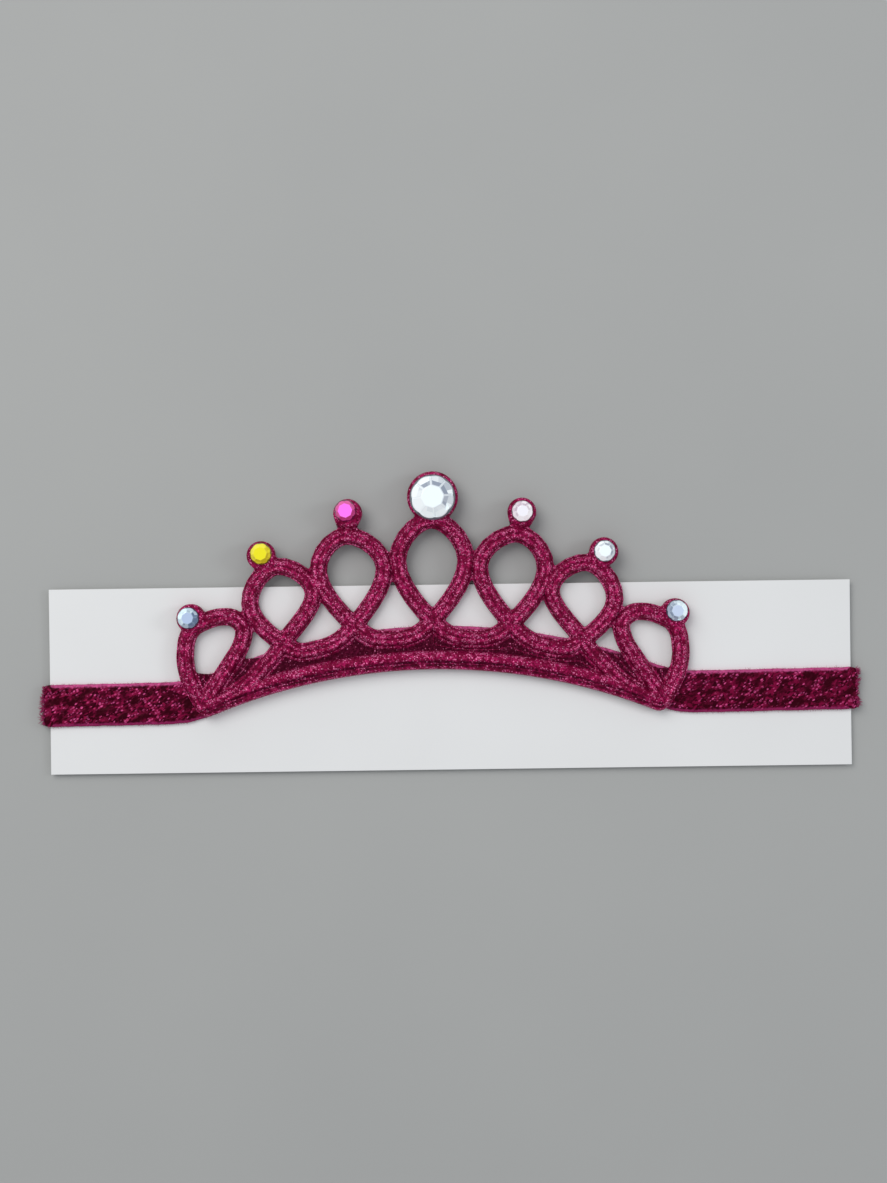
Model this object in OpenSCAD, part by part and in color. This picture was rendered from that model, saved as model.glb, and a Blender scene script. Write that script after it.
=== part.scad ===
// A mini crown headband, lying flat on the plain card that holds it.
// X runs along the band, Y towards the crown's points, Z up from the surface below.
// The origin is the middle of the whole part's footprint, on that surface.

/* [Band] */
// Width of the glitter elastic
band_w = 10.8; // [8:0.1:12]
// Thickness of the glitter elastic
band_t = 0.9; // [0.7:0.1:1.6]
// How far each fold of the band stands past the card's end
fold_room = 1.8; // [1.5:0.1:4]
// Softness of the bend where the band leaves the crown's arch
bend_soft = 1; // [0.5:0.1:2]
// How far the band's straight ends hang below the crown's corners
arm_drop = 1.1; // [0:0.1:2]
// How far the band is turned behind the crown, in degrees
band_turn = 0.55; // [-1:0.05:1]

/* [Card] */
// Length of the card, along the band
card_l = 203; // [180:0.5:240]
// Width of the card, across the band
card_w = 46.9; // [36:0.1:60]
// Thickness of the card
card_t = 0.45; // [0.3:0.05:1]
// Distance from the card's lower edge to the band's middle
card_drop = 18.4; // [12:0.1:24]
// How far the card is turned inside the band, in degrees
card_turn = 0; // [-1:0.1:1]

/* [Crown] */
// Width of the crown over its end loops
crown_w = 129.5; // [120:0.5:145]
// Height of the crown from the middle of its bottom edge to the top of the centre disc
crown_rise = 49.9; // [44:0.1:60]
// Radius of the arched bottom edge
arch_r = 150; // [140:1:200]
// How far the crown's middle lies to the left of the loop's middle
crown_shift = 4.3; // [-8:0.1:8]
// Width of the padded cord that forms the loops
cord_w = 4.5; // [3.6:0.1:4.8]
// Height of the cord's ridge over the crown's back
cord_h = 2.6; // [1.8:0.1:3.4]
// Width of the cord along the bottom edge
rim_w = 4.7; // [4:0.1:5]
// Thickness of the cord at its edges
edge_t = 0.6; // [0.5:0.1:0.8]
// Thickness of the flat webs between the cords
web_t = 1; // [0.9:0.1:1.2]
// How far the discs that carry the stones stand over the cord's ridge
disc_lift = 0.1; // [0.1:0.1:0.8]

/* [Stones] */
// Diameter of the centre stone
big_d = 11.5; // [9:0.5:13]
// Diameter of the six small stones
small_d = 5.5; // [4:0.5:6]
// How far the centre disc reaches past its stone all round
big_margin = 0.7; // [0.4:0.1:1.2]
// How far a small disc reaches past its stone all round
small_margin = 0.9; // [0.4:0.1:1.5]
// Height of a stone as a share of its diameter
stone_rise = 0.32; // [0.25:0.01:0.4]
// Width of a stone's table as a share of its diameter
table_share = 0.52; // [0.4:0.01:0.65]
// Number of facets round a table
facets = 8; // [8:1:12]
// How far the stones are turned on their discs, in degrees
stone_turn = 8; // [0:1:45]

/* [Hidden] */

// Clearance between the pieces that lie on each other
gap = 0.08;
// How far the band's lower edge stays above the crown's bottom edge
band_inset = 0.3;
// How far the crown's pieces reach below its back before it is cut flat
below = 0.3;
// Roundness of the discs and of the stones' girdles
round_fn = 32;
// Roundness of the cord's curve at its knots: a half is a slack curve
fullness = 0.62;
// Width of a disc's neck, and of the crest at the crown's corners, as shares of the cord's
neck_share = 0.75;
crest_share = 0.8;
// Height of a stone's round girdle as a share of the stone's
girdle_share = 0.22;
// Steps of the cord's curve from one knot to the next, and facets over its dome
knot_steps = 5;
dome_steps = 6;
// Steps of the bottom edge, and the turn from one step of a fold to the next
arch_steps = 34;
fold_turn = 15;

half_w = crown_w / 2;
cord_r = cord_w / 2;

// The heights of the layers: lower strand, card, upper strand, crown, stones
card_z = band_t + gap;
upper_z = card_z + card_t + gap;
crown_z = upper_z + band_t + gap;
disc_t = cord_h + disc_lift;
stone_z = crown_z + disc_t + gap;

// The knots of the cord, a row for each loop from the middle outwards. Columns in pairs: the crossing
// at the loop's foot, its inner side, its top, its outer side and the valley past it. Each pair is a
// share of the crown's half width and a share of its rise, measured up from the bottom edge.
LOOPS = [
    [[0.000, 0.246], [-0.134, 0.556], [0.000, 0.758], [0.134, 0.556], [0.157, 0.163]],
    [[0.306, 0.254], [0.185, 0.531], [0.334, 0.713], [0.443, 0.552], [0.454, 0.168]],
    [[0.585, 0.238], [0.463, 0.456], [0.609, 0.637], [0.712, 0.487], [0.652, 0.155]]
];
FOOT = 0;
INNER = 1;
TOP = 2;
OUTER = 3;
VALLEY = 4;

// The same shares for the last stretch of the cord, which runs into the bottom edge
TAIL = [[0.726, 0.085], [0.814, 0.055], [0.862, 0.052]];

// The same shares for the end loop: from its top down its inner side, and down its outer side
END_TOP = [0.812, 0.471];
END_INNER = [[0.763, 0.430], [0.737, 0.370], [0.749, 0.295], [0.782, 0.238], [0.820, 0.182], [0.858, 0.124]];
END_OUTER = [[0.883, 0.487], [0.945, 0.468], [0.966, 0.376], [0.959, 0.269], [0.937, 0.183]];
END_TIP = [0.897, 0.066];
// The sill at the bottom of the end loop's hole: the knot on its inner and on its outer side
SILL_INNER = 6;
SILL_OUTER = 5;
// The web between the last valley and the end loop: its corner on the cord, the knot of the cord where
// it starts and its corner on the end loop, a knot of the inner side
WEB_START = [0.655, 0.196];
WEB_KNOT = 16;
WEB_CORNER = 5;

// The discs: place of the disc in the same shares, diameter of its stone, the disc's margin round it,
// place of its neck on the loop below, the stone's own place on the disc as shares of its diameter,
// and its colour
DISCS = [
    [[0.006, 0.872], big_d, big_margin, [0.003, 0.758], [0.00, -0.01], "white"],
    [[-0.325, 0.824], small_d, small_margin, [-0.332, 0.724], [-0.09, 0.11], "hotpink"],
    [[0.353, 0.825], small_d, small_margin, [0.340, 0.724], [0.01, 0.03], "white"],
    [[-0.664, 0.713], small_d, small_margin, [-0.632, 0.642], [0.01, 0.08], "gold"],
    [[0.670, 0.713], small_d, small_margin, [0.632, 0.642], [0.02, 0.03], "white"],
    [[-0.940, 0.533], small_d, small_margin, [-0.925, 0.490], [-0.09, 0.02], "lightsteelblue"],
    [[0.944, 0.533], small_d, small_margin, [0.925, 0.490], [0.06, 0.09], "azure"]
];
PLACE = 0;
STONE_D = 1;
MARGIN = 2;
NECK = 3;
NUDGE = 4;
TINT = 5;

// The bottom edge's height at a distance from the crown's middle
function edge_y(x) = sqrt(arch_r * arch_r - x * x) - arch_r;
// A pair of shares as a point in the crown's own plane
function spot(share) = [share.x * half_w, edge_y(share.x * half_w) + share.y * crown_rise];

// The band's middle line behind the crown follows the arch, and levels out past its ends
band_rise = band_w / 2 + band_inset;
band_y = edge_y(spot(END_TIP).x) + band_rise - arm_drop;
function band_mid(x) =
    band_y + bend_soft * ln(1 + exp((edge_y(x) + band_rise - band_y) / bend_soft));

// The middle of the part's footprint in the crown's plane, between the turned card's lowest corner
// and the centre disc's top
card_y = band_y - card_drop + card_w / 2;
low_y = card_y - card_w / 2 * cos(card_turn) - card_l / 2 * abs(sin(card_turn));
high_y = spot(DISCS[0][PLACE]).y + big_d / 2 + big_margin;
mid_y = (low_y + high_y) / 2;

// A smooth curve through knots: its point, and its way onward, at a place between two of them
function curve_piece(knots, place) =
    let (
        i = max(1, min(len(knots) - 3, floor(place))),
        from = knots[i],
        span = knots[i + 1] - from,
        leave = fullness * (knots[i + 1] - knots[i - 1]),
        arrive = fullness * (knots[i + 2] - from)
    )
    [from, leave, 3 * span - 2 * leave - arrive, leave + arrive - 2 * span, place - i];
function curve_point(knots, place) =
    let (c = curve_piece(knots, place), t = c[4])
    c[0] + c[1] * t + c[2] * t * t + c[3] * t * t * t;
function curve_way(knots, place) =
    let (c = curve_piece(knots, place), t = c[4])
    c[1] + 2 * c[2] * t + 3 * c[3] * t * t;

// The places, points and ways of a curve from one knot to another
function places(from, to) = [for (i = [0 : (to - from) * knot_steps]) from + i / knot_steps];
function curve(knots, from, to) = [for (place = places(from, to)) curve_point(knots, place)];
function ways(knots, from, to) = [for (place = places(from, to)) curve_way(knots, place)];

// The cord from the centre loop's top to the right: down the centre loop's left side, round each
// valley and loop in turn, and into the bottom edge
MIDDLE = LOOPS[0];
CHAIN = [for (share = concat(
    [MIDDLE[OUTER], MIDDLE[TOP], MIDDLE[INNER], MIDDLE[FOOT], MIDDLE[VALLEY]],
    [for (row = [LOOPS[1], LOOPS[2]])
        each [row[FOOT], row[OUTER], row[TOP], row[INNER], row[FOOT], row[VALLEY]]],
    TAIL, [END_TIP])) spot(share)];
// Where the chain's knots lie: the tops, where it is cut into strands that don't cross themselves,
// and the feet, between which it bounds the webs
TOPS = [1, 7, 13, 19];
FEET = [[3, 5], [9, 11], [15, 19]];

INNER_SIDE = [for (share = concat([END_OUTER[0], END_TOP], END_INNER, [END_TIP, END_TIP])) spot(share)];
OUTER_SIDE = [for (share = concat([END_INNER[0], END_TOP], END_OUTER, [END_TIP, END_TIP])) spot(share)];
INNER_END = len(END_INNER) + 2;
OUTER_END = len(END_OUTER) + 2;

function reverse(list) = [for (i = [len(list) - 1 : -1 : 0]) list[i]];

// Points at one height over the bottom edge
function arch(rise, from, to) =
    [for (i = [0 : arch_steps]) let (x = from + (to - from) * i / arch_steps) [x, edge_y(x) + rise]];

// The section of a padded cord: a dome over upright edges. Its underside reaches below the crown's
// back, where the finished crown is cut flat.
function dome_section(width) = concat(
    [[0, -2 * below], [width / 2, -below]],
    [for (i = [0 : dome_steps]) let (turn = 180 * i / dome_steps)
        [width / 2 * cos(turn), edge_t + (cord_h - edge_t) * sin(turn)]],
    [[-width / 2, -below]]);

// A padded cord along a path, whose sections stand square to its ways
module cord(path, ways, width) {
    section = dome_section(width);
    n = len(section);
    points = [for (i = [0 : len(path) - 1])
        let (side = [ways[i].y, -ways[i].x] / norm(ways[i]))
        for (p = section) [path[i].x + side.x * p.x, path[i].y + side.y * p.x, p.y]];
    sides = [for (i = [0 : len(path) - 2]) for (k = [0 : n - 1])
        let (m = (k + 1) % n) [i * n + k, i * n + m, i * n + n + m, i * n + n + k]];
    start = [for (k = [n - 1 : -1 : 0]) k];
    end = [for (k = [0 : n - 1]) (len(path) - 1) * n + k];
    polyhedron(points, concat([start], sides, [end]));
}

// A padded cord along a curve through knots
module curved_cord(knots, from, to) {
    cord(curve(knots, from, to), ways(knots, from, to), cord_w);
}

// The flat web between the bottom edge and the cord above it
module webs() {
    tip_x = spot(END_TIP).x;
    translate([0, 0, -below / 2])
    linear_extrude(web_t + below / 2) {
        polygon(concat(
            arch(rim_w / 2, 0, tip_x),
            [for (i = [len(FEET) - 1 : -1 : 0])
                each reverse(curve(CHAIN, FEET[i][0], FEET[i][1]))]));
        polygon(concat(
            [spot(WEB_START)], curve(CHAIN, WEB_KNOT, len(CHAIN) - 2),
            reverse(curve(INNER_SIDE, WEB_CORNER, INNER_END))));
        polygon(concat(
            curve(INNER_SIDE, SILL_INNER, INNER_END),
            reverse(curve(OUTER_SIDE, SILL_OUTER, OUTER_END))));
    }
}

module right_half() {
    for (i = [0 : len(TOPS) - 2])
        curved_cord(CHAIN, TOPS[i], TOPS[i + 1]);
    curved_cord(INNER_SIDE, 1, INNER_END);
    curved_cord(OUTER_SIDE, 1, OUTER_END);
    webs();
}

// A disc that carries a stone, blended into the loop below it
module disc(row) {
    translate([0, 0, -below])
        hull() {
            translate(spot(row[PLACE]))
                cylinder(h = disc_t + below, r = row[STONE_D] / 2 + row[MARGIN], $fn = round_fn);
            translate(spot(row[NECK]))
                cylinder(h = disc_t + below, r = cord_r * neck_share, $fn = round_fn);
        }
}

// The rounded corner where the end loop, the cord and the bottom edge meet
module corner(rim_x) {
    translate([0, 0, -below])
        hull() {
            translate(spot(END_TIP))
                cylinder(h = edge_t + below, r = cord_r, $fn = round_fn);
            translate(spot(END_TIP))
                cylinder(h = (edge_t + cord_h) / 2 + below, r = cord_r * crest_share, $fn = round_fn);
            translate([rim_x, edge_y(rim_x) + rim_w / 2])
                cylinder(h = edge_t + below, r = rim_w / 2, $fn = round_fn);
        }
}

module crown() {
    rim_x = spot(END_TIP).x - rim_w / 4;
    rim = arch(rim_w / 2, -rim_x, rim_x);
    color("mediumvioletred")
    translate([-crown_shift, -mid_y, crown_z])
        difference() {
            union() {
                cord(rim, [for (p = rim) [sqrt(arch_r * arch_r - p.x * p.x), -p.x]], rim_w);
                for (side = [0, 1])
                    mirror([side, 0, 0]) {
                        right_half();
                        corner(rim_x);
                    }
                for (row = DISCS)
                    disc(row);
            }
            translate([-crown_w, -crown_rise, -crown_rise])
                cube([2 * crown_w, 3 * crown_rise, crown_rise]);
        }
}

// The band: a closed loop of elastic, folded flat round the card's ends. Its upper strand is straight
// at both sides and follows the arch where the crown hides it; its lower strand runs straight across.
module band() {
    fold_r = (upper_z + band_t) / 2;
    fold_x = card_l / 2 + fold_room - fold_r;
    turn_r = fold_r - band_t / 2;
    reach = half_w + band_w / 2;
    level = band_mid(reach);
    // Stations round the loop: place along the band, height, turn of its outer face, rise of its middle
    stations = concat(
        [for (turn = [-90 : fold_turn : 90])
            [fold_x + turn_r * cos(turn), fold_r + turn_r * sin(turn), turn, 0]],
        [for (i = [arch_steps : -1 : 0]) let (x = reach * (2 * i / arch_steps - 1))
            [x - crown_shift, fold_r + turn_r, 90, band_mid(x) - level]],
        [for (turn = [90 : fold_turn : 270])
            [turn_r * cos(turn) - fold_x, fold_r + turn_r * sin(turn), turn, 0]]);
    corners = [[1, 1], [1, -1], [-1, -1], [-1, 1]];
    points = [for (s = stations) for (c = corners)
        [s[0] + c.x * band_t / 2 * cos(s[2]),
         s[3] + c.y * band_w / 2,
         s[1] + c.x * band_t / 2 * sin(s[2])]];
    n = len(corners);
    faces = [for (i = [0 : len(stations) - 1]) for (k = [0 : n - 1])
        let (j = (i + 1) % len(stations), m = (k + 1) % n) [i * n + k, i * n + m, j * n + m, j * n + k]];
    color("crimson")
    translate([0, level - mid_y, 0])
        rotate(band_turn)
        polyhedron(points, faces);
}

module card() {
    color("whitesmoke")
    translate([0, card_y - mid_y, card_z + card_t / 2])
        rotate(card_turn)
        cube([card_l, card_w, card_t], center = true);
}

// A cut stone with a flat back: a round girdle, slanting facets and a flat table
module stone(row) {
    d = row[STONE_D];
    h = d * stone_rise;
    girdle_h = h * girdle_share;
    place = spot(row[PLACE]) + row[NUDGE] * d;
    table_r = d * table_share / 2;
    slope = (h - girdle_h) / (d / 2 - table_r * cos(180 / facets));
    color(row[TINT])
    translate([place.x - crown_shift, place.y - mid_y, stone_z])
        intersection() {
            cylinder(h = h, d = d, $fn = round_fn);
            rotate(stone_turn)
                cylinder(h = h, r1 = table_r + h / slope / cos(180 / facets), r2 = table_r, $fn = facets);
        }
}

module gem_centre() { stone(DISCS[0]); }
module gem_inner_left() { stone(DISCS[1]); }
module gem_inner_right() { stone(DISCS[2]); }
module gem_middle_left() { stone(DISCS[3]); }
module gem_middle_right() { stone(DISCS[4]); }
module gem_end_left() { stone(DISCS[5]); }
module gem_end_right() { stone(DISCS[6]); }

crown();
band();
card();
gem_centre();
gem_inner_left();
gem_inner_right();
gem_middle_left();
gem_middle_right();
gem_end_left();
gem_end_right();
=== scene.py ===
import bmesh
import bpy
import math
import random
from mathutils import Matrix, Vector, kdtree, noise


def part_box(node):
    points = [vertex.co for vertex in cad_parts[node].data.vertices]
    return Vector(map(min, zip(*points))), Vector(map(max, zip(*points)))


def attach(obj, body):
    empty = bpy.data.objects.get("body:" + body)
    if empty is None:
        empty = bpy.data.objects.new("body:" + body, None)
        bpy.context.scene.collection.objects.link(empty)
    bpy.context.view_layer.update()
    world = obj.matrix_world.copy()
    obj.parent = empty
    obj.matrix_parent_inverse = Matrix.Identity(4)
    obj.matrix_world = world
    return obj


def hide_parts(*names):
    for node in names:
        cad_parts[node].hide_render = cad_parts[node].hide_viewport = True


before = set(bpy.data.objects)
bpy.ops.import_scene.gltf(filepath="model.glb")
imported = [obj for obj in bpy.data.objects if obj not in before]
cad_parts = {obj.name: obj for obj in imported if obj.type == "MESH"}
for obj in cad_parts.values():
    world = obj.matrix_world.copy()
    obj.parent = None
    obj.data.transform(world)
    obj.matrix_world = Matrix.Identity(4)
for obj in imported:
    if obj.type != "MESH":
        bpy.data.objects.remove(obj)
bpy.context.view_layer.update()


# Table top, light and camera. The headband lies flat on a plain grey table in an even bright room,
# seen straight from above, under a large soft lamp at the upper left and a small one at the right.
MM = 0.001
TABLE_HALF = 1.5
# What the camera looks at, and how much of the table it takes in from top to bottom
SIGHT = Vector((-1.45, 7.42, 2.0)) * MM
FRAME_H = 299.5 * MM
LENS = 50.0
SENSOR = 36.0
ROLL = math.radians(-0.75)
ROOM_TINT = (0.93, 0.96, 1.0, 1.0)
ROOM_LIGHT = 0.5


def new_object(name, bm):
    mesh = bpy.data.meshes.new(name)
    bm.to_mesh(mesh)
    bm.free()
    obj = bpy.data.objects.new(name, mesh)
    bpy.context.scene.collection.objects.link(obj)
    return obj


def new_material(name):
    mat = bpy.data.materials.new(name)
    mat.use_nodes = True
    return mat, mat.node_tree, mat.node_tree.nodes["Principled BSDF"]


def set_sockets(made, sockets):
    for name, value in sockets.items():
        made.inputs[name].default_value = value


def node(tree, kind, sockets=None, **settings):
    made = tree.nodes.new(kind)
    for name, value in settings.items():
        setattr(made, name, value)
    set_sockets(made, sockets or {})
    return made


def wire(tree, source, target):
    tree.links.new(source, target)


def linear(r, g, b):
    """A colour as a screen shows it, from 0 to 255, turned into the light that a shader takes"""
    tone = [c / 255 for c in (r, g, b)]
    bent = [c / 12.92 if c <= 0.04045 else ((c + 0.055) / 1.055) ** 2.4 for c in tone]
    return (*bent, 1.0)


def two_tones(tree, factor, dark, light):
    """One tone turns into another as a factor rises; each is a colour or the output of a node"""
    made = node(tree, "ShaderNodeMix", data_type="RGBA")
    wire(tree, factor, made.inputs["Factor"])
    for name, tone in (("A", dark), ("B", light)):
        if isinstance(tone, tuple):
            made.inputs[name].default_value = tone
        else:
            wire(tree, tone, made.inputs[name])
    return made.outputs["Result"]


def cloudy(tree, place, scale, detail=2.0):
    """Soft noise at a place on the surface"""
    made = node(tree, "ShaderNodeTexNoise", {"Scale": scale, "Detail": detail})
    wire(tree, place, made.inputs["Vector"])
    return made.outputs["Fac"]


def soft_lamp(name, place, size, power, tint):
    lamp = bpy.data.lights.new(name, "AREA")
    lamp.shape = "DISK"
    lamp.size = size
    lamp.energy = power
    lamp.color = tint
    obj = bpy.data.objects.new(name, lamp)
    obj.location = place
    obj.rotation_euler = (Vector((0, 0, 0)) - Vector(place)).to_track_quat("-Z", "Y").to_euler()
    bpy.context.scene.collection.objects.link(obj)


bm = bmesh.new()
bmesh.ops.create_grid(bm, x_segments=2, y_segments=2, size=TABLE_HALF)
table_top = new_object("table_top", bm)
mat, tree, shader = new_material("table_grey")
place = node(tree, "ShaderNodeTexCoord").outputs["Object"]
greys = two_tones(tree, cloudy(tree, place, scale=9.0, detail=6.0),
                  dark=linear(171, 172, 171), light=linear(181, 182, 180))
wire(tree, greys, shader.inputs["Base Color"])
set_sockets(shader, {"Roughness": 0.75})
table_top.data.materials.append(mat)

world = bpy.data.worlds.new("room")
world.use_nodes = True
set_sockets(world.node_tree.nodes["Background"], {"Color": ROOM_TINT, "Strength": ROOM_LIGHT})
bpy.context.scene.world = world
soft_lamp("main_lamp", (-0.45, 0.5, 0.8), size=0.8, power=5.0, tint=(1.0, 0.985, 0.96))
soft_lamp("side_lamp", (0.7, 0.1, 0.5), size=0.25, power=0.9, tint=(0.93, 0.97, 1.0))

eye = bpy.data.cameras.new("camera")
eye.lens = LENS
eye.sensor_width = SENSOR
eye.clip_start = 0.01
camera = bpy.data.objects.new("camera", eye)
camera.location = SIGHT + Vector((0, 0, FRAME_H * LENS / SENSOR))
camera.rotation_euler = (0, 0, ROLL)
bpy.context.scene.collection.objects.link(camera)
bpy.context.scene.camera = camera
bpy.context.scene.view_settings.view_transform = "Standard"


# Card. A plain sheet of smooth white card, die-cut with square corners, which the elastic is folded
# round. It lies free inside the loop and curls up a little towards its long edges.
CARD_T = 0.45 * MM
CARD_EDGE = 0.06 * MM
CARD_CURL = 0.35 * MM
CARD_CUTS_ALONG, CARD_CUTS_ACROSS = 60, 24
CARD_WAVES = 25
CARD_SEED = 3.1
# The strip that the elastic holds flat, its middle over the band's lowest corner and its half
# width, and how far beyond it the curl takes to grow
HELD_RISE = 5 * MM
HELD_HALF = 6 * MM
CURL_REACH = 24 * MM
MOST_CURL = 1.2

low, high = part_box("card")
card_mid = (low + high) / 2
card_l, card_w = high.x - low.x, high.y - low.y

bm = bmesh.new()
bmesh.ops.create_cube(bm, size=1.0)
bmesh.ops.scale(bm, verts=bm.verts, vec=(card_l, card_w, CARD_T))
bmesh.ops.bevel(bm, geom=bm.edges[:], offset=CARD_EDGE, offset_type="OFFSET", affect="EDGES",
                segments=2, profile=0.5, material=-1)
long_edges = [e for e in bm.edges if abs(e.verts[0].co.x - e.verts[1].co.x) > card_l * 0.9]
bmesh.ops.subdivide_edges(bm, edges=long_edges, cuts=CARD_CUTS_ALONG, use_grid_fill=True)
cross_edges = [e for e in bm.edges if abs(e.verts[0].co.y - e.verts[1].co.y) > card_w * 0.9]
bmesh.ops.subdivide_edges(bm, edges=cross_edges, cuts=CARD_CUTS_ACROSS, use_grid_fill=True)
# Cutting the edges leaves the faces in an order that changes from run to run, so it is set here
middles = {f: tuple(f.calc_center_median()) for f in bm.faces}
ranks = {f: i for i, f in enumerate(sorted(bm.faces, key=middles.get))}
bm.faces.sort(key=ranks.get)
held_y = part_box("band")[0].y + HELD_RISE - card_mid.y
for v in bm.verts:
    free = max(0.0, abs(v.co.y - held_y) - HELD_HALF) / CURL_REACH
    wave = noise.noise(Vector((v.co.x * CARD_WAVES, v.co.y * CARD_WAVES, CARD_SEED)))
    v.co.z += min(free, MOST_CURL) ** 2 * CARD_CURL * (0.65 + 0.5 * wave)
bmesh.ops.translate(bm, verts=bm.verts, vec=card_mid)
card = new_object("white_card", bm)

mat, tree, shader = new_material("white_card")
place = node(tree, "ShaderNodeTexCoord").outputs["Object"]
whites = two_tones(tree, cloudy(tree, place, scale=22.0),
                   dark=linear(235, 235, 235), light=linear(244, 245, 245))
fibres = node(tree, "ShaderNodeBump", {"Strength": 0.25, "Distance": 0.03 * MM})
wire(tree, cloudy(tree, place, scale=900.0, detail=5.0), fibres.inputs["Height"])
wire(tree, whites, shader.inputs["Base Color"])
wire(tree, fibres.outputs["Normal"], shader.inputs["Normal"])
set_sockets(shader, {"Roughness": 0.55})
card.data.materials.append(mat)
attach(card, "root")
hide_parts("card")


# Band. A closed loop of woven glitter elastic, 10.8 mm wide, with smooth paler selvedges and a body
# of short tinsel tufts. It is folded flat round the card's ends; where the crown hides it, it
# follows the crown's arched edge.
BAND_W = 10.8 * MM
BAND_T = 0.9 * MM
SELVEDGE = 0.75 * MM
SELVEDGE_DIP = 0.14 * MM
SELVEDGE_WAVER = 0.12 * MM
TUFT_ROOM = 0.1 * MM
TUFTS_ALONG = 66
TUFTS_ACROSS = 10
WAVERS_ALONG = 30
FOLD_PINCH = 0.9 * MM
PINCH_REACH = 1.4 * MM
FRAY_REACH = 2.4 * MM
BAND_STEPS = 1000
BAND_CUTS = 36
BAND_TURN = math.radians(0.55)
# The crown's bottom edge, which the band follows: its place along the band, arch and half width
CROWN_SHIFT = 4.3 * MM
ARCH_R = 150 * MM
HALF_W = 64.75 * MM
TIP_X = 0.897 * HALF_W
BEND_SOFT = 1 * MM
ARM_DROP = 1.1 * MM

low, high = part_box("band")
turn_r = (high.z - BAND_T) / 2
turn_sin, turn_cos = math.sin(BAND_TURN), math.cos(BAND_TURN)
fold_x = (high.x - BAND_W / 2 * turn_sin - high.z / 2 * turn_cos) / turn_cos
mid_z = high.z / 2
level = low.y + BAND_W / 2 * turn_cos + (fold_x + high.z / 2) * turn_sin
reach = HALF_W + BAND_W / 2
straight = 2 * fold_x
fold_l = math.pi * turn_r
loop_l = 2 * (straight + fold_l)


def edge_y(x):
    """Height of the crown's arched bottom edge against its highest point"""
    return math.sqrt(ARCH_R * ARCH_R - x * x) - ARCH_R


def band_rise(x):
    """How far the band's middle rises over its level ends behind the crown's arch"""
    past = edge_y(x) - edge_y(TIP_X) + ARM_DROP
    return BEND_SOFT * math.log(1 + math.exp(min(past / BEND_SOFT, 60)))


def band_place(s):
    """Of the elastic's middle, s along the loop: place along the card, height, way out and rise"""
    s %= loop_l
    if s < straight:
        return s - fold_x, mid_z - turn_r, Vector((0, 0, -1)), 0.0
    s -= straight
    if fold_l <= s < fold_l + straight:
        x = fold_x - (s - fold_l)
        rise = band_rise(min(reach, abs(x + CROWN_SHIFT))) - band_rise(reach)
        return x, mid_z + turn_r, Vector((0, 0, 1)), rise
    if s < fold_l:
        centre_x, a = fold_x, s / turn_r - math.pi / 2
    else:
        centre_x, a = -fold_x, (s - fold_l - straight) / turn_r + math.pi / 2
    out = Vector((math.cos(a), 0, math.sin(a)))
    return turn_r * math.cos(a) + centre_x, mid_z + turn_r * math.sin(a), out, 0.0


def near_fold(x, length):
    """1 at the turn of a fold, falling to 0 over a length"""
    return max(0.0, 1 - (fold_x + turn_r - abs(x)) / length)


def lay_on_card(bm):
    """Turn what lies along the band's middle, and move it to its place round the card"""
    turn = Matrix.Rotation(BAND_TURN, 3, "Z")
    bmesh.ops.rotate(bm, verts=bm.verts, cent=(0, 0, 0), matrix=turn)
    bmesh.ops.translate(bm, verts=bm.verts, vec=(0, level, 0))


bm = bmesh.new()
weave = bm.loops.layers.uv.new("weave")
bmesh.ops.create_grid(bm, x_segments=BAND_STEPS, y_segments=BAND_CUTS, size=0.5)
for face in bm.faces:
    for loop in face.loops:
        s, across = (loop.vert.co.x + 0.5) * loop_l, loop.vert.co.y
        frayed = min(1.0, 2 * near_fold(band_place(s)[0], FRAY_REACH))
        loop[weave].uv = (s / MM, across * BAND_W / MM * (1 - 0.2 * frayed))
for v in bm.verts:
    s, across = (v.co.x + 0.5) * loop_l, v.co.y
    x, z, out, rise = band_place(s)
    cos_s, sin_s = math.cos(2 * math.pi * s / loop_l), math.sin(2 * math.pi * s / loop_l)
    around = Vector((cos_s * TUFTS_ALONG, sin_s * TUFTS_ALONG, across * TUFTS_ACROSS))
    tuft = noise.noise(around * 1.1) + 0.6 * noise.noise(around * 2.7)
    body = min(1.0, max(0.0, (0.5 - abs(across)) * BAND_W / SELVEDGE - 0.6) / 0.5)
    waver = noise.noise(Vector((cos_s * WAVERS_ALONG, sin_s * WAVERS_ALONG, 5))) * SELVEDGE_WAVER
    pinch = FOLD_PINCH * near_fold(x, PINCH_REACH) ** 2
    y = across * (BAND_W - 2 * TUFT_ROOM - pinch) + rise + waver * abs(across) * 2
    proud = body * (0.02 + 0.07 * tuft) * MM - (1 - body) * SELVEDGE_DIP
    v.co = Vector((x, y, z)) + out * (BAND_T / 2 - TUFT_ROOM + proud)
bmesh.ops.remove_doubles(bm, verts=bm.verts, dist=0.01 * MM)
bmesh.ops.reverse_faces(bm, faces=bm.faces)
lay_on_card(bm)
band = new_object("glitter_band", bm)
band.data.shade_smooth()
wall = band.modifiers.new("elastic_thickness", "SOLIDIFY")
wall.thickness = BAND_T - 2 * TUFT_ROOM
wall.offset = -1.0


def work_out(tree, operation, *terms, clamp=False):
    """What a Math node makes of its terms, each a number or the output of a node"""
    made = node(tree, "ShaderNodeMath", operation=operation, use_clamp=clamp)
    for socket, term in zip(made.inputs, terms):
        if isinstance(term, (int, float)):
            socket.default_value = term
        else:
            wire(tree, term, socket)
    return made.outputs["Value"]


def ramp(tree, value, low, high, bottom=0.0, top=1.0, kind="SMOOTHSTEP"):
    """Turns a value between low and high into one between bottom and top"""
    made = node(tree, "ShaderNodeMapRange", interpolation_type=kind)
    set_sockets(made, {"From Min": low, "From Max": high, "To Min": bottom, "To Max": top})
    wire(tree, value, made.inputs["Value"])
    return made.outputs["Result"]


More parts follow.
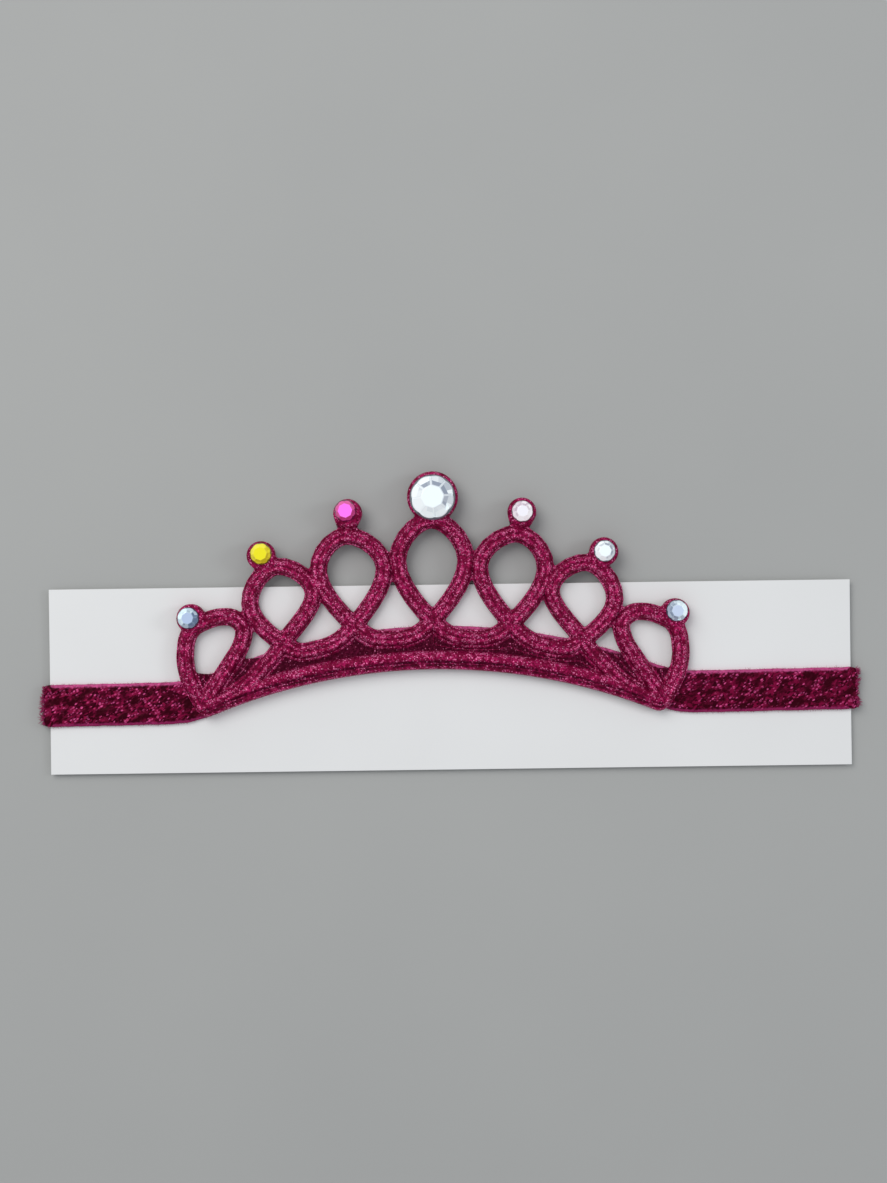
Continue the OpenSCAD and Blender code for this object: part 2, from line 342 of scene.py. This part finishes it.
def glitter_flakes():
    """Flakes of foil, each with its own tone and its own tilt, and a painted glint on a share of
    them, for the band and the crown
    """
    group = bpy.data.node_groups.new("glitter_flakes", "ShaderNodeTree")
    for way, kind, names in (("INPUT", "Vector", ("Place",)),
                             ("INPUT", "Float", ("Share", "Tilt", "Patchiness")),
                             ("INPUT", "Color", ("Dark", "Middle", "Bright")),
                             ("OUTPUT", "Color", ("Color",)),
                             ("OUTPUT", "Float", ("Glint",)),
                             ("OUTPUT", "Vector", ("Normal",))):
        for name in names:
            group.interface.new_socket(name=name, in_out=way, socket_type="NodeSocket" + kind)
    given = node(group, "NodeGroupInput").outputs
    flakes = node(group, "ShaderNodeTexVoronoi", {"Scale": 1.0}, feature="F1")
    chance = node(group, "ShaderNodeSeparateColor")
    wire(group, given["Place"], flakes.inputs["Vector"])
    wire(group, flakes.outputs["Color"], chance.inputs["Color"])

    # The flakes lie thicker in some patches than in others
    patches = cloudy(group, given["Place"], scale=0.2, detail=3.0)
    crowd = ramp(group, patches, low=0.35, high=0.65, bottom=-1.0, top=1.0, kind="LINEAR")
    thick = work_out(group, "ADD", work_out(group, "MULTIPLY", crowd, given["Patchiness"]), 1.0)
    # A share of them gets a painted glint, as if it caught the light, each more or less, and most
    # at its middle
    lit_share = work_out(group, "MULTIPLY", thick, given["Share"])
    lit = work_out(group, "LESS_THAN", chance.outputs["Red"], lit_share)
    strength = work_out(group, "MULTIPLY_ADD", chance.outputs["Blue"], 0.7, 0.35)
    flash = work_out(group, "MULTIPLY", strength, lit, clamp=True)
    core = ramp(group, flakes.outputs["Distance"], low=0.62, high=0.3)
    glint = work_out(group, "MULTIPLY", flash, core)
    # The others lie between the dark and the middle tone
    tone = work_out(group, "POWER", chance.outputs["Green"], 1.7)
    tone = work_out(group, "MULTIPLY", tone, thick, clamp=True)
    unlit = two_tones(group, tone, dark=given["Dark"], light=given["Middle"])
    # The painted glint turns a flake's tone towards the bright tone
    colour = two_tones(group, glint, dark=unlit, light=given["Bright"])

    # Each leans its own way out of the surface
    facing = node(group, "ShaderNodeNewGeometry")
    lean = node(group, "ShaderNodeVectorMath", {1: (0.5, 0.5, 0.5)}, operation="SUBTRACT")
    leaned = node(group, "ShaderNodeVectorMath", operation="SCALE")
    tilted = node(group, "ShaderNodeVectorMath", operation="ADD")
    unit = node(group, "ShaderNodeVectorMath", operation="NORMALIZE")
    wire(group, flakes.outputs["Color"], lean.inputs[0])
    wire(group, lean.outputs["Vector"], leaned.inputs[0])
    wire(group, given["Tilt"], leaned.inputs["Scale"])
    wire(group, leaned.outputs["Vector"], tilted.inputs[0])
    wire(group, facing.outputs["Normal"], tilted.inputs[1])
    wire(group, tilted.outputs["Vector"], unit.inputs[0])

    result = node(group, "NodeGroupOutput")
    wire(group, colour, result.inputs["Color"])
    wire(group, glint, result.inputs["Glint"])
    wire(group, unit.outputs["Vector"], result.inputs["Normal"])
    return group


flake_group = glitter_flakes()


def flake_node(tree, place, share, tilt, patchiness, dark, middle, bright):
    made = node(tree, "ShaderNodeGroup", node_tree=flake_group)
    set_sockets(made, {"Share": share, "Tilt": tilt, "Patchiness": patchiness, "Dark": dark,
                       "Middle": middle, "Bright": bright})
    wire(tree, place, made.inputs["Place"])
    return made


mat, tree, shader = new_material("glitter_elastic")
woven = node(tree, "ShaderNodeUVMap", uv_map="weave").outputs["UV"]
slant = node(tree, "ShaderNodeMapping", {"Rotation": (0, 0, math.radians(30))})
stretch = node(tree, "ShaderNodeMapping", {"Scale": (1.3, 2.3, 1.0)})
wire(tree, woven, slant.inputs["Vector"])
wire(tree, slant.outputs["Vector"], stretch.inputs["Vector"])
# The bright tone is the painted glint of the elastic's flakes
flakes = flake_node(tree, stretch.outputs["Vector"], share=0.22, tilt=0.5, patchiness=1.2,
                    dark=linear(58, 1, 18), middle=linear(124, 8, 56), bright=linear(212, 80, 142))
woven_parts = node(tree, "ShaderNodeSeparateXYZ")
wire(tree, woven, woven_parts.inputs["Vector"])
across = woven_parts.outputs["Y"]
# The tufts run unevenly over into the selvedges, which are paler at the top than at the bottom
ragged = cloudy(tree, woven, scale=1.3, detail=3.0)
uneven = work_out(tree, "MULTIPLY_ADD", ragged, 1.1, work_out(tree, "ABSOLUTE", across))
body_half = (BAND_W / 2 - SELVEDGE) / MM
at_selvedge = ramp(tree, uneven, low=body_half + 0.3, high=body_half + 0.95)
upwards = ramp(tree, across, low=-4.0, high=4.0, kind="LINEAR")
pinks = two_tones(tree, upwards, dark=linear(150, 40, 92), light=linear(198, 82, 138))
elastic = two_tones(tree, at_selvedge, dark=flakes.outputs["Color"], light=pinks)
wire(tree, elastic, shader.inputs["Base Color"])
wire(tree, flakes.outputs["Normal"], shader.inputs["Normal"])
set_sockets(shader, {"Roughness": 0.45, "Metallic": 0.25, "Specular IOR Level": 0.06})
band.data.materials.append(mat)
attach(band, "root")
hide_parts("band")


# Tinsel ends. The elastic is woven with pink foil thread, cut short. Its ends stand out all along
# both edges of the upper strand and, longer and in clumps, round the two folds.
EDGE_ENDS = 1300
EDGE_END_R = 0.045 * MM
FOLD_ENDS = 420
FOLD_END_R = 0.15 * MM
TINSEL_SEED = 11

draw = random.Random(TINSEL_SEED)
bm = bmesh.new()


def tinsel_end(s, across, lean, long, thick):
    """One thread end, a slim three-sided cone that starts just inside the elastic"""
    x, z, out, rise = band_place(s)
    foot = Vector((x, across * (BAND_W - 2 * TUFT_ROOM) + rise, z))
    foot += out * draw.uniform(0.1, 0.4) * MM
    tip = foot + lean.normalized() * long
    for end in (foot, tip):
        end.z = max(end.z, 1.5 * thick)
    thread = tip - foot
    turn = thread.to_track_quat("Z", "Y").to_matrix().to_4x4()
    bmesh.ops.create_cone(bm, cap_ends=True, segments=3, radius1=thick, radius2=thick * 0.35,
                          depth=thread.length, matrix=Matrix.Translation((foot + tip) / 2) @ turn)


for i in range(EDGE_ENDS):
    side = draw.choice((-1, 1))
    s = straight + fold_l + draw.random() * straight
    lean = Vector((draw.uniform(-1, 1), side * draw.uniform(0.15, 0.6), draw.uniform(-0.2, 0.25)))
    tinsel_end(s, side * draw.uniform(0.47, 0.495), lean, draw.uniform(0.35, 0.75) * MM, EDGE_END_R)
for i in range(FOLD_ENDS):
    s = draw.choice((straight, 2 * straight + fold_l))
    s += fold_l * draw.uniform(0.2, 0.85)
    lean = band_place(s)[2] + Vector((0, draw.uniform(-0.9, 0.9), draw.uniform(-0.4, 0.4)))
    across = draw.uniform(-0.46, 0.46)
    clump = max(0.0, 0.5 + 1.4 * noise.noise(Vector((across * 9, s * 40, 2.5))))
    tinsel_end(s, across, lean, (0.4 + clump * draw.uniform(0.4, 1.3)) * MM, FOLD_END_R)
lay_on_card(bm)
tinsel = new_object("tinsel_ends", bm)

mat, tree, shader = new_material("tinsel_pink")
place = node(tree, "ShaderNodeTexCoord").outputs["Object"]
mottled = two_tones(tree, cloudy(tree, place, scale=900.0),
                    dark=linear(120, 8, 62), light=linear(196, 66, 126))
wire(tree, mottled, shader.inputs["Base Color"])
set_sockets(shader, {"Roughness": 0.4})
tinsel.data.materials.append(mat)
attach(tinsel, "root")


# Crown. One padded applique of glitter cloth over foam, pressed with hot dies: cord-like strands
# with a thin flat border cross in seven loops over a bottom rim, with thin webs between them and a
# round pad at the top of each loop. It is stitched to the front of the band.
CROWN_RISE = 49.9 * MM
CORD_R = 2.25 * MM
CORD_H = 2.6 * MM
RIM_R = 2.35 * MM
EDGE_T = 0.6 * MM
WEB_T = 1.0 * MM
BACK_T = 0.3 * MM
FULLNESS = 0.62
STRAND_STEP = 0.2 * MM
RIM_STEPS = 300
VOXEL = 0.32 * MM
# The pressed relief: each strand's two ridges and flat border, the rim's groove, the pads' edge
RIDGE = 0.85 * MM
RIDGE_DIP = 0.15 * MM
SHOULDER = 1.3 * MM
BORDER_W = 0.55 * MM
BORDER_H = 1.15 * MM
BORDER_ROLL = 0.3 * MM
BORDER_FALL = 0.25 * MM
BORDER_LINE = 2.05 * MM
RIM_FOOT = 0.8 * MM
RIM_GROOVE = 0.8 * MM
GROOVE_W = 0.6 * MM
GROOVE_D = 0.55 * MM
PAD_H = 2.7 * MM
PAD_EDGE = 0.55 * MM
PAD_FALL = 0.9 * MM
PAD_FOOT = 0.3 * MM
# Knots of the strands: shares of the half width, and of the rise over the bottom edge
LOOPS = (
    ((0.000, 0.246), (-0.134, 0.556), (0.000, 0.758), (0.134, 0.556), (0.157, 0.163)),
    ((0.306, 0.254), (0.185, 0.531), (0.334, 0.713), (0.443, 0.552), (0.454, 0.168)),
    ((0.585, 0.238), (0.463, 0.456), (0.609, 0.637), (0.712, 0.487), (0.652, 0.155)),
)
TAIL = ((0.726, 0.085), (0.814, 0.055), (0.862, 0.052))
END_TOP = (0.812, 0.471)
END_INNER = ((0.763, 0.430), (0.737, 0.370), (0.749, 0.295), (0.782, 0.238), (0.820, 0.182),
             (0.858, 0.124))
END_OUTER = ((0.883, 0.487), (0.945, 0.468), (0.966, 0.376), (0.959, 0.269), (0.937, 0.183))
END_TIP = (0.897, 0.066)
# The round pads: their places, in the same shares, and their radii
CENTRE_PAD_R = 6.45 * MM
PAD_R = 3.65 * MM
PADS = (
    ((0.006, 0.872), CENTRE_PAD_R),
    ((-0.325, 0.824), PAD_R), ((0.353, 0.825), PAD_R),
    ((-0.664, 0.713), PAD_R), ((0.670, 0.713), PAD_R),
    ((-0.940, 0.533), PAD_R), ((0.944, 0.533), PAD_R),
)

crown_low, crown_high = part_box("crown")
crown_z = crown_low.z
top_pad, top_pad_r = PADS[0]
top_y = edge_y(top_pad[0] * HALF_W) + top_pad[1] * CROWN_RISE + top_pad_r
crown_mid_y = top_y - crown_high.y


def spot(share):
    x = share[0] * HALF_W
    return Vector((x - CROWN_SHIFT, edge_y(x) + share[1] * CROWN_RISE - crown_mid_y))


def strand_points(shares):
    """Points of a smooth strand through its knots; the first and last knot only steer its ends"""
    knots = [spot(share) for share in shares]
    points = []
    for before, a, b, after in zip(knots, knots[1:], knots[2:], knots[3:]):
        leave = FULLNESS * (b - before)
        arrive = FULLNESS * (after - a)
        steps = max(2, int((b - a).length / STRAND_STEP))
        for k in range(steps):
            t = k / steps
            points.append(a + leave * t + (3 * (b - a) - 2 * leave - arrive) * t * t
                          + (leave + arrive - 2 * (b - a)) * t ** 3)
    return points


middle, inner, outer = LOOPS
chain = [middle[3], middle[2], middle[1], middle[0], middle[4]]
for row in (inner, outer):
    chain += [row[0], row[3], row[2], row[1], row[0], row[4]]
chain += [*TAIL, END_TIP]
down_inner = [END_OUTER[0], END_TOP, *END_INNER, END_TIP, END_TIP]
down_outer = [END_INNER[0], END_TOP, *END_OUTER, END_TIP, END_TIP]
strands = [strand_points(knots) for knots in (chain, down_inner, down_outer)]
strands += [[Vector((-2 * CROWN_SHIFT - p.x, p.y)) for p in strand] for strand in strands]
rim_x = END_TIP[0] * HALF_W - RIM_R / 2
rim_points = []
for i in range(2 * RIM_STEPS + 1):
    x = rim_x * (i / RIM_STEPS - 1)
    rim_points.append(Vector((x - CROWN_SHIFT, edge_y(x) + RIM_R - crown_mid_y)))
strands.append(rim_points)

stops = []
for line in strands:
    half = RIM_R if line is rim_points else CORD_R
    for i, p in enumerate(line):
        way = (line[min(i + 1, len(line) - 1)] - line[max(i - 1, 0)]).normalized()
        stops.append((p, way, half))
nearest = kdtree.KDTree(len(stops))
for i, (p, way, half) in enumerate(stops):
    nearest.insert((p.x, p.y, 0), i)
nearest.balance()
pads = [(spot(share), pad_r) for share, pad_r in PADS]


def strand_height(off):
    """Height of a strand over the crown's back, off its middle: two ridges and a flat border"""
    body_r = CORD_R - BORDER_W
    if off < body_r:
        dome = math.sqrt(max(0.0, 1 - (off / body_r) ** 3))
        dip = RIDGE_DIP * math.cos(math.pi * (off - RIDGE) / RIDGE)
        return SHOULDER + (CORD_H - SHOULDER - RIDGE_DIP) * dome + dip
    border = (off - body_r) / BORDER_W
    return BORDER_H + BORDER_ROLL * math.sin(math.pi * border) - BORDER_FALL * border


def rim_height(off):
    """The same for the bottom rim, off upwards: a broad pillow with a groove low along it"""
    pillow = math.sqrt(max(0.0, 1 - abs(off / RIM_R) ** 3))
    groove = math.exp(-((off + RIM_GROOVE) / GROOVE_W) ** 2)
    return RIM_FOOT + (CORD_H - RIM_FOOT) * pillow - GROOVE_D * groove


def pad_height(off, pad_r):
    """The same for a round pad: flat, with a rounded edge"""
    return PAD_H - PAD_FALL * max(0.0, 1 - (pad_r - off) / PAD_EDGE) ** 2


bm = bmesh.new()
bm.from_mesh(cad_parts["crown"].data)
bmesh.ops.remove_doubles(bm, verts=bm.verts, dist=0.001 * MM)
crown = new_object("padded_crown", bm)
net = crown.modifiers.new("net", "REMESH")
net.mode = "VOXEL"
net.voxel_size = VOXEL
net.use_smooth_shade = True
netted = crown.evaluated_get(bpy.context.evaluated_depsgraph_get())
fine = bpy.data.meshes.new_from_object(netted)
crown.modifiers.clear()
crown.data = fine
bm = bmesh.new()
bm.from_mesh(fine)
bm.normal_update()
beside_layer = bm.verts.layers.float.new("beside")
where_layer = bm.verts.layers.float_vector.new("where")
for v in bm.verts:
    flat = Vector((v.co.x, v.co.y))
    _, index, off = nearest.find((flat.x, flat.y, 0))
    p, way, half = stops[index]
    beside = math.copysign(off, way.x * (flat.y - p.y) - way.y * (flat.x - p.x))
    on_rim = half == RIM_R
    lift = 0.0
    if off < half:
        lift = rim_height(beside) if on_rim else strand_height(off)
    on_pad = False
    for centre, pad_r in pads:
        away = (flat - centre).length
        if away < pad_r + PAD_FOOT:
            lift = max(lift, pad_height(min(away, pad_r), pad_r))
            on_pad = True
    v[beside_layer] = beside / MM
    v[where_layer] = (float(on_pad), float(on_rim), float(v.normal.z < -0.3))
    top = crown_z + max(lift, WEB_T if off > half else EDGE_T)
    if v.normal.z > 0.3:
        v.co.z = top
    elif v.co.z > crown_z + BACK_T:
        v.co.z = min(v.co.z, top)
tops = [v for v in bm.verts if v.normal.z > -0.2]
bmesh.ops.smooth_vert(bm, verts=tops, factor=0.35,
                      use_axis_x=True, use_axis_y=True, use_axis_z=True)
bmesh.ops.remove_doubles(bm, verts=bm.verts, dist=0.002 * MM)
for face in bm.faces:
    face.smooth = True
bm.to_mesh(fine)
bm.free()


def gather(tree, operation, first, *others):
    """The product or the highest of several terms"""
    for other in others:
        first = work_out(tree, operation, first, other)
    return first


def all_but(tree, mask):
    return work_out(tree, "SUBTRACT", 1.0, mask)


def line_at(tree, source, centre, half, soft):
    """A mask that is 1 within half of a value and fades over soft"""
    away = work_out(tree, "ABSOLUTE", work_out(tree, "SUBTRACT", source, centre))
    return ramp(tree, away, low=half + soft, high=half)


mat, tree, shader = new_material("pressed_glitter")
place = node(tree, "ShaderNodeTexCoord").outputs["Object"]
beside = node(tree, "ShaderNodeAttribute", attribute_name="beside").outputs["Fac"]
where = node(tree, "ShaderNodeAttribute", attribute_name="where")
flags = node(tree, "ShaderNodeSeparateXYZ")
wire(tree, where.outputs["Vector"], flags.inputs["Vector"])
on_pad, on_rim, at_back = flags.outputs["X"], flags.outputs["Y"], flags.outputs["Z"]
off = work_out(tree, "ABSOLUTE", beside)
bare = all_but(tree, gather(tree, "MAXIMUM", on_pad, at_back))
cord = gather(tree, "MULTIPLY", bare, all_but(tree, on_rim))
rim = gather(tree, "MULTIPLY", bare, on_rim)
crumple = cloudy(tree, place, scale=420.0, detail=1.5)

# Lines that stand up, as bumps, and get more painted glints, as painted highlights: each strand's
# two ridges, its border, wrinkles, and one in the rim's groove. Distances are in mm off the
# strand's middle.
groove_at = -RIM_GROOVE / MM
ridge = line_at(tree, off, centre=RIDGE / MM, half=0.15, soft=0.4)
ridge = gather(tree, "MULTIPLY", ridge, cord)
border = line_at(tree, off, centre=BORDER_LINE / MM, half=0.14, soft=0.16)
border = gather(tree, "MULTIPLY", border, bare)
wrinkles = line_at(tree, crumple, centre=0.5, half=0.006, soft=0.028)
wrinkles = gather(tree, "MULTIPLY", wrinkles, 0.7)
rim_line = line_at(tree, beside, centre=groove_at, half=0.05, soft=0.17)
rim_line = gather(tree, "MULTIPLY", rim_line, rim, 0.6)
lines = gather(tree, "MAXIMUM", ridge, border, wrinkles, rim_line)

# Low ones, which sink in the bump and are painted dark as painted shade: inside each border,
# between the ridges, the rim's groove and the webs
groove = line_at(tree, off, centre=(CORD_R - BORDER_W) / MM, half=0.03, soft=0.2)
groove = gather(tree, "MULTIPLY", groove, cord, 0.6)
seam = line_at(tree, off, centre=0.0, half=0.06, soft=0.26)
seam = gather(tree, "MULTIPLY", seam, cord, 0.5)
uneven = ramp(tree, crumple, low=0.38, high=0.58, bottom=0.45, kind="LINEAR")
rim_groove = line_at(tree, beside, centre=groove_at, half=0.5, soft=0.55)
rim_groove = gather(tree, "MULTIPLY", rim_groove, rim, all_but(tree, rim_line), uneven)
web = gather(tree, "MULTIPLY", ramp(tree, off, low=2.2, high=2.6), bare)
low_lines = gather(tree, "MAXIMUM", groove, seam, rim_groove, web)

# Fewer painted glints where it is low, and the painted shade is laid least on the flakes that glint
scaled = node(tree, "ShaderNodeMapping", {"Scale": (2900, 2900, 2900)})
wire(tree, place, scaled.inputs["Vector"])
# The bright tone is the painted glint of the crown's flakes
flakes = flake_node(tree, scaled.outputs["Vector"], share=0.3, tilt=0.5, patchiness=0.8,
                    dark=linear(112, 7, 47), middle=linear(182, 30, 96),
                    bright=linear(248, 138, 190))
more = work_out(tree, "ADD", work_out(tree, "MULTIPLY", lines, 0.32), 0.22)
share = work_out(tree, "SUBTRACT", more, work_out(tree, "MULTIPLY", low_lines, 0.34))
wire(tree, work_out(tree, "MAXIMUM", 0.08, share), flakes.inputs["Share"])
dull = all_but(tree, work_out(tree, "MULTIPLY", flakes.outputs["Glint"], 0.8))
shade = gather(tree, "MULTIPLY", low_lines, 0.85, dull)
# Painted shade: the low lines are darkened towards a deep maroon
front = two_tones(tree, shade, dark=flakes.outputs["Color"], light=linear(52, 1, 20))
felt = two_tones(tree, cloudy(tree, place, scale=1600.0, detail=4.0),
                 dark=linear(96, 6, 42), light=linear(150, 24, 78))
wire(tree, two_tones(tree, at_back, front, felt), shader.inputs["Base Color"])
relief = node(tree, "ShaderNodeBump", {"Strength": 0.6, "Distance": 0.08 * MM})
wire(tree, work_out(tree, "SUBTRACT", lines, low_lines), relief.inputs["Height"])
wire(tree, flakes.outputs["Normal"], relief.inputs["Normal"])
wire(tree, relief.outputs["Normal"], shader.inputs["Normal"])
set_sockets(shader, {"Roughness": 0.45, "Metallic": 0.25, "Specular IOR Level": 0.06})
crown.data.materials.clear()
crown.data.materials.append(mat)
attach(crown, "root")
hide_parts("crown")


# Stones. Seven round flat-backed stones of clear or tinted acrylic with a foil back, moulded with a
# table and eight facets, glued on the crown's pads. The foil shows through each facet in parts.
# Their colours hold painted light: lit and shaded foil, painted reflections, a girdle painted dark
# as a shaded outline, and a painted glow.
FACETS = 8
STONE_TURN = math.radians(5)
GIRDLE_SIDES = 64
GIRDLE_SHARE = 0.2
TAPER = 0.74
# Where each facet's foil is split, from its inner to its outer end
SPLIT = 0.42
# Shares of a stone's diameter
FACET_REACH = 0.48
FRAME_W = 0.02
FRAME_DIP = 0.004
FOIL_GAP = 0.007
SOFT_EDGE = 0.006
# Points closer than this are one point, while the stone is cut and once it is done
TOUCHING = 0.0005 * MM
WELDED = 0.004 * MM
# The painted tones are those of the table, in the stone's tint with a painted reflection; of foil
# painted lit; of foil painted in shade; and of the thin girdle, painted dark as a shaded outline
ICE = (linear(240, 250, 254), linear(246, 253, 255), linear(116, 128, 152), linear(96, 104, 114))
ROSE = (linear(255, 116, 244), linear(228, 94, 166), linear(186, 54, 118), linear(104, 22, 66))
# A clear stone: its pink is a painted reflection, mostly in its painted shade
CLEAR_WITH_PINK_REFLECTION = (linear(240, 238, 246), linear(255, 252, 255), linear(176, 150, 172), linear(110, 90, 104))
LEMON = (linear(236, 226, 6), linear(246, 236, 60), linear(184, 164, 8), linear(110, 92, 14))
STEEL = (linear(176, 194, 224), linear(226, 248, 255), linear(96, 116, 148), linear(54, 62, 80))
MIST = (linear(194, 208, 232), linear(234, 250, 255), linear(112, 128, 156), linear(62, 70, 88))
# Of each stone: its slot and painted tones, the table's share of it, where its painted light comes
# from, how dark the painted shade on the foil gets, and how bright the painted foil stays towards
# the girdle
STONES = {
    "gem_centre": ("clear_stone", ICE, 0.49, (-0.75, -0.65), 0.85, 0.75),
    "gem_inner_left": ("pink_stone", ROSE, 0.66, (-0.3, 0.9), 0.9, 0.1),
    "gem_inner_right": ("clear_stone", CLEAR_WITH_PINK_REFLECTION, 0.52, (0.5, -0.8), 0.75, 0.4),
    "gem_middle_left": ("yellow_stone", LEMON, 0.6, (-0.4, 0.9), 0.75, 0.2),
    "gem_middle_right": ("clear_stone", ICE, 0.55, (-0.8, -0.6), 0.8, 0.5),
    "gem_end_left": ("blue_stone", STEEL, 0.55, (-0.9, 0.45), 1.0, 0.0),
    "gem_end_right": ("clear_stone", MIST, 0.55, (0.9, 0.3), 0.9, 0.1),
}


def held_in(value):
    return min(1.0, max(0.0, value))


def blend_tones(dark, light, share):
    share = held_in(share)
    return [a * (1 - share) + b * share for a, b in zip(dark, light)]


def paint(faces, layer, tone):
    for face in faces:
        for loop in face.loops:
            loop[layer] = tone


def foil_facet(bm, layer, face, d, tones, lit_from, contrast, rim_light, shades):
    """Frame a facet, cut its middle into four parts and paint each a blend of lit and shaded foil,
    by how it faces its painted light
    """
    lit_tone, shaded_tone = tones[1:3]
    outwards = Vector((face.normal.x, face.normal.y, 0)).normalized()
    towards = 0.5 + 0.5 * outwards.dot(Vector((*lit_from, 0)).normalized())
    # The frame is painted as a highlight on the lit side and as a shaded line on the other
    framed = (1 - 0.8 * rim_light) * contrast * (1 - towards)
    paint([face], layer, blend_tones(shaded_tone, lit_tone, 1 - framed))
    bmesh.ops.inset_individual(bm, faces=[face], thickness=FRAME_W * d, depth=FRAME_DIP * d,
                               use_even_offset=True)
    paint([face], layer, blend_tones(shaded_tone, lit_tone, 0.35 + 0.5 * towards))
    bmesh.ops.inset_individual(bm, faces=[face], thickness=FOIL_GAP * d, use_even_offset=True)
    reaches = [v.co.dot(outwards) for v in face.verts]
    middle = face.calc_center_median_weighted()
    split = min(reaches) * (1 - SPLIT) + max(reaches) * SPLIT
    middle += outwards * (split - middle.dot(outwards))
    parts = [face]
    aslant = Matrix.Rotation(math.pi / 2 + shades.uniform(-0.4, 0.4), 3, "Z") @ outwards
    for way in (outwards, aslant):
        held = dict.fromkeys(g for part in parts for g in (part, *part.edges, *part.verts))
        cut = bmesh.ops.bisect_plane(bm, geom=list(held), dist=TOUCHING,
                                     plane_co=middle, plane_no=way)
        parts = [g for g in cut["geom"] if isinstance(g, bmesh.types.BMFace)]
    # Painted light and shade: outer parts stay brighter towards the girdle, inner ones darken most
    # away from the light
    for part in parts:
        if (part.calc_center_median() - middle).dot(outwards) > 0:
            bright = towards + 0.9 * rim_light + shades.uniform(-0.4, 0.3)
        else:
            bright = 1.6 * towards - 0.4 + shades.uniform(-0.3, 0.3)
        share = 1 - contrast * (1 - held_in(bright))
        paint([part], layer, blend_tones(shaded_tone, lit_tone, share))


def cut_stone(name, tones, table_share, *light):
    """A round stone cut with a table and facets over a thin girdle, in its CAD node's box"""
    low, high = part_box(name)
    d, h = high.x - low.x, high.z - low.z
    bm = bmesh.new()
    layer = bm.loops.layers.float_color.new("cut")
    bmesh.ops.create_cone(bm, cap_ends=True, segments=GIRDLE_SIDES, radius1=d / 2,
                          radius2=d / 2 * TAPER, depth=h)
    bmesh.ops.translate(bm, verts=bm.verts, vec=(0, 0, h / 2))
    table_r = d * table_share / 2 * math.cos(math.pi / FACETS)
    steep = Vector((h * (1 - GIRDLE_SHARE), 0, d * FACET_REACH - table_r)).normalized()
    for i in range(FACETS):
        turn = Matrix.Rotation(STONE_TURN + (i + 0.5) * math.tau / FACETS, 3, "Z")
        cut = bmesh.ops.bisect_plane(bm, geom=bm.verts[:] + bm.edges[:] + bm.faces[:],
                                     dist=TOUCHING, plane_co=turn @ Vector((table_r, 0, h)),
                                     plane_no=turn @ steep, clear_outer=True)
        open_edges = [e for e in cut["geom_cut"] if isinstance(e, bmesh.types.BMEdge)]
        bmesh.ops.contextual_create(bm, geom=open_edges)
    bmesh.ops.recalc_face_normals(bm, faces=bm.faces)
    bm.normal_update()
    table = [f for f in bm.faces if f.normal.z > 0.99]
    sloping = [f for f in bm.faces
               if 0.1 < f.normal.z < 0.99 and f.calc_center_median().z > h * 0.3]
    broad = max(f.calc_area() for f in sloping) / 2
    facets = [f for f in sloping if f.calc_area() > broad]
    # Painted: all faces first get the girdle's tone, dark as a shaded outline, and the table gets
    # the stone's tint with a painted reflection
    paint(bm.faces, layer, tones[3])
    paint(table, layer, tones[0])
    shades = random.Random(name)
    for face in facets:
        foil_facet(bm, layer, face, d, tones, *light, shades)
    bm.normal_update()
    bmesh.ops.inset_individual(bm, faces=table, thickness=FRAME_W * d, depth=0.0,
                               use_even_offset=True)
    sharp = [e for e in bm.edges if e.calc_face_angle(0) > 0.3]
    bmesh.ops.bevel(bm, geom=sharp, offset=SOFT_EDGE * d, offset_type="OFFSET", affect="EDGES",
                    segments=1, profile=0.5, material=-1, clamp_overlap=True)
    bmesh.ops.remove_doubles(bm, verts=bm.verts, dist=WELDED)
    foot = Vector(((low.x + high.x) / 2, (low.y + high.y) / 2, low.z))
    bmesh.ops.translate(bm, verts=bm.verts, vec=foot)
    return new_object("cut_" + name, bm)


mat, tree, shader = new_material("foiled_acrylic")
tint_and_painted_light = node(tree, "ShaderNodeAttribute", attribute_name="cut").outputs["Color"]
wire(tree, tint_and_painted_light, shader.inputs["Base Color"])
# Painted glow: the stones glow faintly in their painted tones, though no lamp is in them
wire(tree, tint_and_painted_light, shader.inputs["Emission Color"])
set_sockets(shader, {"Emission Strength": 0.26, "Metallic": 0.12, "Roughness": 0.12,
                     "Coat Weight": 0.5, "Coat Roughness": 0.03})
for name, (slot, tones, table_share, *light) in STONES.items():
    gem = cut_stone(name, tones, table_share, *light)
    gem.data.materials.append(mat)
    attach(gem, "root")
    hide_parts(name)
